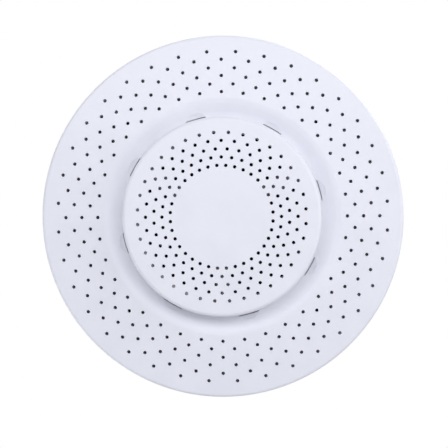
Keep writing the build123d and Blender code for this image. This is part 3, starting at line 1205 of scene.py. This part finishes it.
# ------------------------------------------------------------------ mounting frame
@dataclass
class MountingFrame(SubAssembly):
    """The pressed steel frame on the ceiling, with its lip seal and its gasket."""

    sheet: float = 1.2
    spigot_r: float = 62.0
    neck_r: float = 61.2
    neck_z: float = 44.0
    bead_r: tuple[float, float] = (70.0, 77.0)
    bead_height: float = 0.9
    bead_slope: float = 1.4
    bead_rounding: float = 0.5
    roll: float = 0.75
    gasket_width: float = 8.0
    screw_circle_r: float = 85.0
    screw_hole_r: float = 2.25
    screws: int = 4

    def build(self) -> None:
        """Models the frame, its seal and its gasket."""
        self.span = span_of("mounting_frame")
        self._pressing()
        self._lip_seal()
        self._gasket()

    def _pressing(self) -> None:
        """Models the flange and spigot as one pressing with a bead and a rolled end."""
        low, top, rim = self.span.low, self.span.high, self.span.reach
        high = low + self.sheet
        bore, neck_bore = self.spigot_r - self.sheet, self.neck_r - self.sheet
        near, far = self.bead_r
        raised, slope = self.bead_height, self.bead_slope
        pressing = turn(
            "spigot_frame",
            (
                (bore, low),
                (near, low),
                (near + slope, low + raised),
                (far - slope, low + raised),
                (far, low),
                (rim, low),
                (rim, high),
                (far, high),
                (far - slope, high + raised),
                (near + slope, high + raised),
                (near, high),
                (self.spigot_r, high),
                (self.spigot_r, self.neck_z),
                (self.neck_r, self.neck_z + 0.5),
                (self.neck_r, top - 1.9),
                (self.neck_r + self.roll, top - 1.3),
                (self.neck_r + self.roll, top - 0.5),
                (self.neck_r, top),
                (neck_bore, top),
                (neck_bore, self.neck_z - self.sheet),
                (bore, self.neck_z - self.sheet - 0.5),
            ),
            segments=LARGE_ROUND,
        )
        round_circles(pressing, (bore, low, 1.1), (self.spigot_r, high, 1.6), steps=5)
        beads = [(near, low), (near + slope, low + raised), (far - slope, low + raised), (far, low)]
        both_faces = [(r, z + lift, self.bead_rounding) for r, z in beads for lift in (0, self.sheet)]
        round_circles(pressing, *both_faces, steps=3)
        round_circles(pressing, (rim, low, 0.25), (rim, high, 0.25), (neck_bore, top, 0.4), steps=2)
        combine(pressing, self._screw_holes(low, high), Join.CUT)
        smooth(pressing)
        self.put(pressing, Body.FRAME, GALVANISED, "mounting_frame")

    def _screw_holes(self, low: float, high: float) -> Piece:
        """Makes the tool for the ceiling screws' holes, with eased mouths.

        Args:
            low: lower face of the flange, in mm.
            high: upper face of the flange, in mm.

        Returns:
            The tool.
        """
        ease, past, flats = 0.25, 0.75, 32
        wide = self.screw_hole_r + ease + past
        profile = (
            (wide, low - past),
            (self.screw_hole_r, low + ease),
            (self.screw_hole_r, high - ease),
            (wide, high + past),
        )
        hole = turn("screw_hole", profile, segments=flats, ring=False)
        return repeat_round(place(hole, 45, (self.screw_circle_r, 0, 0)), self.screws)

    def _lip_seal(self) -> None:
        """Models the rubber seal with its two raked lips."""
        span = span_of("spigot_seal")
        seat, back = self.neck_r, span.reach
        foot = span.low + 0.5
        points = [(seat, foot), (back, foot)]
        for base in (span.low + 1.6, span.low + 4.8):
            points += [(back, base), (back + 1.5, base - 0.9), (back + 1.7, base - 0.55), (back, base + 0.9)]
        points += [(back, span.high), (seat, span.high)]
        seal = turn("lip_seal", points, segments=LARGE_ROUND)
        round_circles(seal, (back, span.high, 0.3), (back, foot, 0.3), steps=2)
        smooth(seal, 50)
        self.put(seal, Body.FRAME, SEAL_RUBBER, "spigot_seal")

    def _gasket(self) -> None:
        """Models the cellular rubber gasket on the flange's edge."""
        span = span_of("ceiling_gasket")
        inner, outer = span.reach - self.gasket_width, span.reach
        gasket = turn("gasket_ring", flat_ring(inner, outer, span.low, span.high), segments=LARGE_ROUND)
        eased = ((inner, span.high, 0.7), (outer, span.high, 0.7), (outer, span.low, 0.3))
        round_circles(gasket, *eased, steps=3)
        smooth(gasket, 50)
        self.put(gasket, Body.FRAME, GASKET_RUBBER, "ceiling_gasket")


# ------------------------------------------------------------------ bridge and adjuster
@dataclass
class Bridge(SubAssembly):
    """The three-arm plate across the throat, with the screws that hold it."""

    hub_r: float = 16.0
    arms: int = 3
    arm_width: float = 9.0
    arm_end_r: float = 53.5
    arm_end_rounding: float = 2.5
    fillet: float = 3.0
    rib_reach: tuple[float, float] = (20.0, 43.0)
    rib_half_width: float = 1.5
    rib_height: float = 0.9
    stud_hole_r: float = 4.2
    screw_circle_r: float = 49.75
    screw_flats: float = 5.5
    screw_r: float = 1.5
    collar_r: float = 3.6

    def build(self) -> None:
        """Models the plate and its three screws."""
        low, high = (corner.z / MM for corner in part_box("bridge"))
        plate = turn("bridge_plate", ((self.hub_r, low), (self.hub_r, high)), ring=False)
        combine(plate, self._arms(low, high), Join.ADD)

        def at_fillet(one: Vector, other: Vector) -> bool:
            """Finds the upright edges where an arm leaves the hub."""
            on_hub = abs(one.xy.length - self.hub_r) < 0.2
            return rises(1)(one, other) and on_hub and self._off_arm(one) < 0.06

        round_edges(plate, at_fillet, self.fillet, 5)
        combine(plate, self._ribs(high), Join.ADD)
        hole_profile = ((self.stud_hole_r, low - 1), (self.stud_hole_r, high + 1))
        combine(plate, turn("stud_hole", hole_profile, segments=TOOL_ROUND, ring=False), Join.CUT)
        smooth(plate)
        self.put(plate, Body.FACE, ZINC_SHEET, "bridge")
        self._screws(high)

    def _off_arm(self, point: Vector) -> float:
        """Measures how far a point is from the nearest side of an arm, in mm."""
        gaps = []
        for arm in range(self.arms):
            turned = Matrix.Rotation(-math.radians(90 + 360 / self.arms * arm), 3, "Z") @ point
            if turned.x > 0:
                gaps.append(abs(abs(turned.y) - self.arm_width / 2))
        return min(gaps)

    def _arms(self, low: float, high: float) -> Piece:
        """Makes the three arms with rounded ends.

        Args:
            low: lower face, in mm.
            high: upper face, in mm.

        Returns:
            The arms as one tool.
        """
        start, inset, half = 2.0, 6.0, self.arm_width / 2
        arm = block("arm", (start, -half, low), (self.arm_end_r, half, high))
        round_edges(arm, lambda a, b: rises(1)(a, b) and a.x > start + 1, self.arm_end_rounding, 5)
        with editing(arm):
            select_edges(arm, both(lambda end: end.x < start + 1))
            bpy.ops.transform.translate(value=(inset * MM, 0, 0))
        return repeat_round(place(arm, 90), self.arms)

    def _ribs(self, high: float) -> Piece:
        """Makes the pressed stiffening rib on each arm.

        Args:
            high: upper face of the plate, in mm.

        Returns:
            The ribs as one tool.
        """
        (inner, outer), half, top = self.rib_reach, self.rib_half_width, high + self.rib_height
        rib = block("rib", (inner, -half, high - 0.5), (outer, half, top))
        round_edges(rib, rises(1), 1.3, 5)
        round_edges(rib, both(lambda end: end.z > top - NEAR), 0.6)
        return repeat_round(place(rib, 90), self.arms)

    def _screws(self, high: float) -> None:
        """Models one hexagon screw and copies it to the three lugs.

        Args:
            high: upper face of the plate, in mm.
        """
        span = span_of("bridge_screws")
        across = self.screw_flats / 2 / math.cos(math.pi / HEXAGON)
        head = turn("head", ((across, high + 0.6), (across, span.high)), segments=HEXAGON, ring=False)
        dome = ((across, high), (across + 0.1, span.high - 0.5), (across - 0.7, span.high))
        combine(head, turn("crown", dome, segments=TOOL_ROUND, ring=False), Join.KEEP_SHARED)
        disc = ((self.collar_r, high), (self.collar_r, high + 0.4), (self.collar_r - 0.7, high + 0.7))
        combine(head, turn("collar", disc, segments=TOOL_ROUND, ring=False), Join.ADD)
        tip = ((self.screw_r, high + 0.3), (self.screw_r, span.low + 0.6), (self.screw_r - 0.6, span.low))
        combine(head, turn("shank", tip, segments=TINY_ROUND, ring=False), Join.ADD)
        smooth(head)
        place(head, 90, (self.screw_circle_r, 0, 0))
        head.name = "bridge_screw_1"
        step = 360 / self.arms
        copies = [turned_copy(head, step * arm, f"bridge_screw_{arm + 1}") for arm in range(1, self.arms)]
        for screw in (head, *copies):
            self.put(screw, Body.FACE, ZINC, "bridge_screws")


@dataclass
class Adjuster(SubAssembly):
    """The stud with its nuts, the guide cage and the sprung seat that the disc turns on."""

    lead: float = 3.0
    thread_depth: float = 0.5
    plate_bore: float = 4.2
    nut_flats: float = 13.0
    nut_bore: float = 4.05
    nut_chamfer: float = 0.9
    nut_sink: float = 0.7
    prongs: int = 3
    prong: tuple[float, float] = (6.0, 2.5)
    cage_plate: float = 2.0
    seat_r: float = 15.0
    slide_bore: float = 4.3
    slide_gap: float = 0.3
    spring_spigot_r: float = 7.7
    spring_spigot_height: float = 0.9
    wire_r: float = 0.6
    coil_r: float = 9.0
    coils: float = 3.5

    def build(self) -> None:
        """Models the adjuster from the stud outwards."""
        self._stud()
        self._washer()
        self._nut("lock_nut", "stud_nut")
        self._nut("thin_nut", "jam_nut")
        self._cage()
        self._seat()
        self._nylon_washer()
        self._spring()

    def _stud(self) -> None:
        """Models the stud with its coarse trapezoidal thread, one profile screwed upwards."""
        span = span_of("threaded_stud")
        crest = span.reach - 0.03
        root = crest - self.thread_depth
        start, turns = span.low - self.lead, int((span.high - span.low) / self.lead) + 3
        pitch_shares = ((root, 0.0), (root, 0.34), (crest, 0.46), (crest, 0.88), (root, 1.0))
        stud = draw_line("thread_stud", [(r, 0, start + share * self.lead) for r, share in pitch_shares])
        modifier = stud.modifiers.new("thread", "SCREW")
        modifier.angle, modifier.screw_offset = math.tau, self.lead * MM
        modifier.steps = modifier.render_steps = 36
        modifier.iterations, modifier.use_merge_vertices = turns, True
        modifier.merge_threshold = 0.001 * MM
        pick(stud)
        bpy.ops.object.modifier_apply(modifier=modifier.name)
        tidy_shell(stud)
        blank = turn(
            "blank",
            (
                (crest - 0.8, span.low),
                (crest + 0.2, span.low + 1),
                (crest + 0.2, span.high - 1),
                (crest - 0.8, span.high),
            ),
            segments=TOOL_ROUND,
            ring=False,
        )
        with editing(stud):
            for height, above in ((start + 0.6 * self.lead, False), (span.high + 1.2, True)):
                bpy.ops.mesh.select_all(action="SELECT")
                bpy.ops.mesh.bisect(
                    plane_co=(0, 0, height * MM),
                    plane_no=(0, 0, 1),
                    use_fill=True,
                    clear_inner=not above,
                    clear_outer=above,
                )
        tidy_shell(stud)
        combine(stud, blank, Join.KEEP_SHARED)
        smooth(stud, 28)
        self.put(stud, Body.FACE, ZINC, "threaded_stud")

    def _washer(self) -> None:
        """Models the stamped washer, with its rolled upper edge."""
        span, bore = span_of("stud_washer"), self.plate_bore
        profile = flat_ring(bore, span.reach, span.low, span.high)
        washer = turn("stud_washer_ring", profile, segments=SMALL_ROUND)
        eased = ((span.reach, span.high, 0.5), (bore, span.high, 0.3), (span.reach, span.low, 0.15))
        round_circles(washer, *eased, steps=3)
        smooth(washer)
        self.put(washer, Body.FACE, ZINC, "stud_washer")

    def _nut(self, name: str, node: str) -> None:
        """Models a hexagon nut with turned chamfers and a countersunk bore.

        Args:
            name: name of the piece.
            node: CAD node that it stands for.
        """
        span, bore, sink = span_of(node), self.nut_bore, self.nut_sink
        across = self.nut_flats / 2 / math.cos(math.pi / HEXAGON)
        nut = turn(name, ((across, span.low), (across, span.high)), segments=HEXAGON, ring=False)
        with editing(nut):
            bpy.ops.mesh.select_all(action="SELECT")
            bpy.ops.transform.rotate(value=math.pi / HEXAGON, orient_axis="Z", center_override=(0, 0, 0))
        face_r, widest = self.nut_flats / 2 - 0.15, across + 0.05
        crown = turn(
            "crown",
            (
                (face_r, span.low),
                (widest, span.low + self.nut_chamfer),
                (widest, span.high - self.nut_chamfer),
                (face_r, span.high),
            ),
            segments=SMALL_ROUND,
            ring=False,
        )
        combine(nut, crown, Join.KEEP_SHARED)
        past = 0.5
        bore_tool = turn(
            "bore",
            (
                (bore + sink + past, span.low - past),
                (bore, span.low + sink),
                (bore, span.high - sink),
                (bore + sink + past, span.high + past),
            ),
            segments=TOOL_ROUND,
            ring=False,
        )
        combine(nut, bore_tool, Join.CUT)
        smooth(nut, 25)
        self.put(nut, Body.FACE, ZINC, node)

    def _cage(self) -> None:
        """Models the nylon guide cage with its three prongs."""
        span = span_of("guide_cage")
        low, outer = span.high - self.cage_plate, span.reach
        cage = turn("guide_cage_moulding", flat_ring(self.plate_bore, outer, low, span.high))
        round_circles(cage, (outer, span.high, 0.4), (outer, low, 0.4), steps=3)
        width, thick = self.prong
        prong = block("prong", (outer - thick, -width / 2, span.low), (outer, width / 2, low + 0.6))
        taper = 0.9
        with editing(prong):
            select_edges(prong, both(lambda end: end.z < span.low + 1 and end.x < outer - 1))
            bpy.ops.transform.translate(value=(taper * MM, 0, 0))
        round_edges(prong, rises(5), 0.5)
        round_edges(prong, both(lambda end: end.z < span.low + 0.2), 0.4, 2)
        combine(cage, repeat_round(place(prong, 90), self.prongs), Join.ADD)
        smooth(cage)
        self.put(cage, Body.FACE, GREY_NYLON, "guide_cage")

    def _seat(self) -> None:
        """Models the notched seat with the low spigot that centres the spring."""
        low, high = (corner.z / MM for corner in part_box("spring_seat"))
        outer, bore, spigot_r = self.seat_r, self.slide_bore, self.spring_spigot_r
        spigot_top = high + self.spring_spigot_height
        seat = turn(
            "spring_seat_moulding",
            (
                (bore, low),
                (outer, low),
                (outer, high),
                (spigot_r, high),
                (spigot_r - 0.3, spigot_top),
                (bore, spigot_top),
            ),
        )
        round_circles(seat, (outer, high, 0.3), (outer, low, 0.3), steps=3)
        width, thick = self.prong
        half = width / 2 + self.slide_gap
        notch = block("notch", (outer - thick - self.slide_gap, -half, low - 1), (outer + 3, half, high + 1))
        combine(seat, repeat_round(place(notch, 90), self.prongs), Join.CUT)
        smooth(seat)
        self.put(seat, Body.CARRIER, GREY_NYLON, "spring_seat")

    def _nylon_washer(self) -> None:
        """Models the thrust washer between the seat and the insert."""
        span = span_of("thrust_washer")
        profile = flat_ring(self.slide_bore, span.reach, span.low, span.high)
        washer = turn("nylon_thrust_washer", profile, segments=SMALL_ROUND)
        round_circles(washer, (span.reach, span.high, 0.2), (span.reach, span.low, 0.2), steps=2)
        smooth(washer)
        self.put(washer, Body.CARRIER, WHITE_NYLON, "thrust_washer")

    def _spring(self) -> None:
        """Models the coil spring between the face and the carrier.
        """
        low, high = (corner.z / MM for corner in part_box("compression_spring"))
        around, steps_a_turn = 14, 32
        upright = (math.pi / 2, 0, 0)
        pick()
        bpy.ops.mesh.primitive_circle_add(vertices=around, radius=self.wire_r * MM, rotation=upright)
        spring = bpy.context.object
        spring.name = "coil_spring"
        bpy.ops.object.transform_apply(rotation=True)
        top, bottom = high - self.wire_r, low + self.wire_r
        place(spring, 0, (self.coil_r, 0, top))
        modifier = spring.modifiers.new("coil", "SCREW")
        modifier.angle, modifier.screw_offset = math.tau * self.coils, (bottom - top) * MM
        modifier.steps = modifier.render_steps = int(steps_a_turn * self.coils)
        modifier.use_merge_vertices = False
        pick(spring)
        bpy.ops.object.modifier_apply(modifier=modifier.name)
        with editing(spring):
            bpy.ops.mesh.select_all(action="SELECT")
            bpy.ops.mesh.fill_holes(sides=0)
            bpy.ops.mesh.normals_make_consistent(inside=False)
        pick(spring)
        bpy.ops.object.shade_smooth_by_angle(angle=math.radians(60))
        self.shop.dress(spring, SPRING_STEEL)
        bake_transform(spring)
        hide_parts("compression_spring")
        LOG.info("coil_spring: %d faces, stretches with the carrier", len(spring.data.polygons))


# ------------------------------------------------------------------ retaining springs
@dataclass
class RetainingSprings(SubAssembly):
    """The folded leaf springs on the collar that grip the spigot, and their rivets."""

    count: int = 3
    start_angle: float = 30.0
    width: float = 9.0
    leaf: float = 0.6
    collar_r: float = 54.0
    grip_r: float = 60.45
    leg_low: float = -3.0
    leg_high: float = 6.0
    grip_high: float = 13.0
    fold_high: float = 22.0
    rivet_heights: tuple[float, float] = (-1.0, 2.0)
    bend: float = 1.6

    def build(self) -> None:
        """Models one spring and one rivet, and copies them round the collar."""
        leaf = self._leaf()
        rivets = [self._rivet(height) for height in self.rivet_heights]
        for index in range(self.count):
            angle = self.start_angle + 360 / self.count * index
            copy = turned_copy(leaf, angle, f"leaf_spring_{index + 1}")
            self.put(copy, Body.FACE, SPRING_STEEL, f"retaining_spring_{index + 1}")
            for row, rivet in enumerate(rivets):
                head = turned_copy(rivet, angle, f"rivet_{index + 1}_{row + 1}")
                self.put(head, Body.FACE, ZINC)
        for pattern in (leaf, *rivets):
            bpy.data.objects.remove(pattern)

    def _flat_r(self, radius: float) -> float:
        """Finds how far out a flat leaf lies whose edges touch a round wall."""
        return math.sqrt(radius**2 - (self.width / 2) ** 2)

    def _leaf(self) -> Piece:
        """Models the folded leaf at angle 0.

        Returns:
            The leaf.
        """
        seat = self._flat_r(self.collar_r) - self.leaf / 2
        reach = self._flat_r(self.grip_r) - self.leaf / 2
        fold = (seat + reach + self.leaf) / 2
        corners = (
            (seat, self.leg_low),
            (seat, self.leg_high),
            (fold, self.fold_high),
            (reach, self.grip_high),
            (fold + self.leaf, self.leg_high),
        )
        leaf = draw_line("leaf", [(radius, -self.width / 2, height) for radius, height in corners])
        with editing(leaf):
            bpy.context.tool_settings.mesh_select_mode = (True, False, False)
            mesh = bmesh.from_edit_mesh(leaf.data)
            for vertex in mesh.verts:
                vertex.select_set(len(vertex.link_edges) == 2)
            mesh.select_flush_mode()
            bmesh.update_edit_mesh(leaf.data)
            bpy.ops.mesh.bevel(offset=self.bend * MM, segments=5, affect="VERTICES")
            bpy.ops.mesh.select_all(action="SELECT")
            bpy.ops.mesh.extrude_edges_indiv()
            bpy.ops.transform.translate(value=(0, self.width * MM, 0))
        thick = leaf.modifiers.new("sheet", "SOLIDIFY")
        thick.thickness, thick.offset = self.leaf * MM, 0.0
        ease = leaf.modifiers.new("ease", "BEVEL")
        ease.width, ease.segments, ease.angle_limit = 0.12 * MM, 2, math.radians(60)
        pick(leaf)
        for modifier in (thick, ease):
            bpy.ops.object.modifier_apply(modifier=modifier.name)
        tidy_shell(leaf)
        smooth(leaf, 40)
        return leaf

    def _rivet(self, height: float) -> Piece:
        """Models a domed rivet head against the leaf at angle 0.

        Args:
            height: height of the rivet, in mm.

        Returns:
            The rivet.
        """
        face = self._flat_r(self.collar_r) - self.leaf
        dome = ((1.3, 0.0), (1.3, 0.15), (1.05, 0.5), (0.6, 0.72))
        rivet = turn("rivet", dome, segments=TINY_ROUND, ring=False)
        pick(rivet)
        rivet.rotation_euler.y = -math.pi / 2
        rivet.location = Vector((face, 0, height)) * MM
        bpy.ops.object.transform_apply(location=True, rotation=True)
        smooth(rivet, 60)
        return rivet


# ------------------------------------------------------------------ studio
@dataclass
class Studio:
    """Pale floor, a black disc of painted shade high above, soft lights and the camera that looks up at the
    face.
    """

    camera_place: tuple[float, float, float] = (14.15, -2.87, -568.8)
    camera_aim: tuple[float, float, float] = (1.10, 4.54, -14.0)
    camera_up: tuple[float, float, float] = (0.0064, -1.0, 0.0)
    lens: float = 71.8
    floor_drop: float = 2.4
    floor_size: float = 40.0
    floor_colour: Colour = (0.86, 0.86, 0.87)
    floor_glow: float = 0.18
    # painted shade: a black disc high above stands in for the shade inside the duct
    duct_shade_place: tuple[float, float, float] = (-0.032, 0.0055, 1.2)
    duct_shade_r: float = 0.33
    duct_shade_colour: Colour = (0.004, 0.004, 0.004)
    lamp_colour: Colour = (0.965, 0.975, 1.0)
    sky_colour: Colour = (0.91, 0.935, 1.0)
    sky_change: tuple[float, float] = (0.15, 0.6)
    sky_from_below: float = 0.73
    sky_from_above: float = 0.20

    def build(self) -> None:
        """Sets the studio up."""
        self._world()
        self._floor()
        self._hang_duct_shade()
        self._lights()
        self._camera()
        bpy.context.scene.view_settings.view_transform = "Standard"

    def _world(self) -> None:
        """Makes a plain white surround that lights softly, and less from above than below."""
        world = bpy.data.worlds.new("studio")
        world.use_nodes = True
        bpy.context.scene.world = world
        wiring = Wiring(world.node_tree)
        soft = world.node_tree.nodes["Background"]
        soft.inputs["Color"].default_value = (*self.sky_colour, 1)
        parts = wiring.node("ShaderNodeSeparateXYZ")
        wiring.feed(parts.inputs[0], wiring.node("ShaderNodeTexCoord").outputs["Generated"])
        levels = (self.sky_from_below, self.sky_from_above)
        wiring.feed(soft.inputs["Strength"], wiring.spread(parts.outputs[2], self.sky_change, levels))
        plain = wiring.node("ShaderNodeBackground")
        plain.inputs["Color"].default_value = (1, 1, 1, 1)
        choice = wiring.node("ShaderNodeMixShader")
        wiring.feed(choice.inputs[0], wiring.node("ShaderNodeLightPath").outputs["Is Camera Ray"])
        wiring.feed(choice.inputs[1], soft.outputs[0])
        wiring.feed(choice.inputs[2], plain.outputs[0])
        wiring.feed(world.node_tree.nodes["World Output"].inputs[0], choice.outputs[0])

    def _floor(self) -> None:
        """Lays the pale floor far below the ceiling."""
        pick()
        bpy.ops.mesh.primitive_plane_add(size=self.floor_size, location=(0, 0, -self.floor_drop))
        shader = self._stage_piece("floor", "pale_floor", self.floor_colour, 0.9)
        shader.inputs["Emission Color"].default_value = (*self.sky_colour, 1)
        shader.inputs["Emission Strength"].default_value = self.floor_glow

    def _hang_duct_shade(self) -> None:
        """Hangs a matt black disc high above the diffuser: painted shade that stands in for the shade inside
        the duct, seen through the pinholes.
        """
        pick()
        bpy.ops.mesh.primitive_circle_add(
            vertices=64, radius=self.duct_shade_r, fill_type="NGON", location=self.duct_shade_place
        )
        # Painted shade: near-black paint for the shade of the duct behind the pinholes.
        shader = self._stage_piece("painted_duct_shade", "matt_black", self.duct_shade_colour, 1.0)
        shader.inputs["Specular IOR Level"].default_value = 0.0

    def _stage_piece(self, name: str, paint_name: str, colour: Colour, roughness: float) -> bpy.types.Node:
        """Names and paints the newest object.

        Args:
            name: name of the object.
            paint_name: name of its material.
            colour: colour of the material.
            roughness: roughness of the material.

        Returns:
            The material's shader.
        """
        stage = bpy.context.object
        stage.name = name
        paint = bpy.data.materials.new(paint_name)
        paint.use_nodes = True
        shader = paint.node_tree.nodes["Principled BSDF"]
        shader.inputs["Base Color"].default_value = (*colour, 1)
        shader.inputs["Roughness"].default_value = roughness
        stage.data.materials.append(paint)
        return shader

    def _lights(self) -> None:
        """Hangs the soft lights: key, side light and fill below the face, two more above it."""
        lamps = (
            ("key", (0.05, -0.30, -0.85), (1.1, 0.30), 4.1),
            ("side", (1.3, -0.3, -0.55), (1.0, 1.0), 5.2),
            ("fill", (-0.9, 0.7, -1.2), (1.4, 1.4), 1.6),
            ("upper_key", (1.1, -1.3, 0.85), (1.0, 1.0), 18.0),
            ("upper_fill", (-1.4, 1.1, 0.7), (1.4, 1.4), 10.0),
        )
        for name, where, (width, height), power in lamps:
            lamp = bpy.data.lights.new(name, "AREA")
            lamp.shape, lamp.size, lamp.size_y = "RECTANGLE", width, height
            lamp.energy, lamp.color = power, self.lamp_colour
            stand = bpy.data.objects.new(name, lamp)
            stand.location = where
            stand.rotation_euler = (-Vector(where)).to_track_quat("-Z", "Y").to_euler()
            stand.visible_camera = False
            bpy.context.scene.collection.objects.link(stand)

    def _camera(self) -> None:
        """Sets the camera almost straight under the face."""
        here, aim = Vector(self.camera_place), Vector(self.camera_aim)
        back = (here - aim).normalized()
        right = Vector(self.camera_up).cross(back).normalized()
        up = back.cross(right)
        camera = bpy.data.objects.new("camera", bpy.data.cameras.new("camera"))
        facing = Matrix((right, up, back)).transposed().to_4x4()
        camera.matrix_world = Matrix.Translation(here * MM) @ facing
        camera.data.lens = self.lens
        bpy.context.scene.collection.objects.link(camera)
        bpy.context.scene.camera = camera


def main() -> None:
    """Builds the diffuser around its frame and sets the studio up."""
    logging.basicConfig(level=logging.INFO, format="%(name)s %(message)s")
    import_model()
    shop = PaintShop()
    for kind in (PerforatedFace, CentreDisc, MountingFrame, Bridge, Adjuster, RetainingSprings):
        LOG.info("building %s", kind.__name__)
        kind(shop).build()
    Studio().build()


if __name__ == "__main__":
    main()
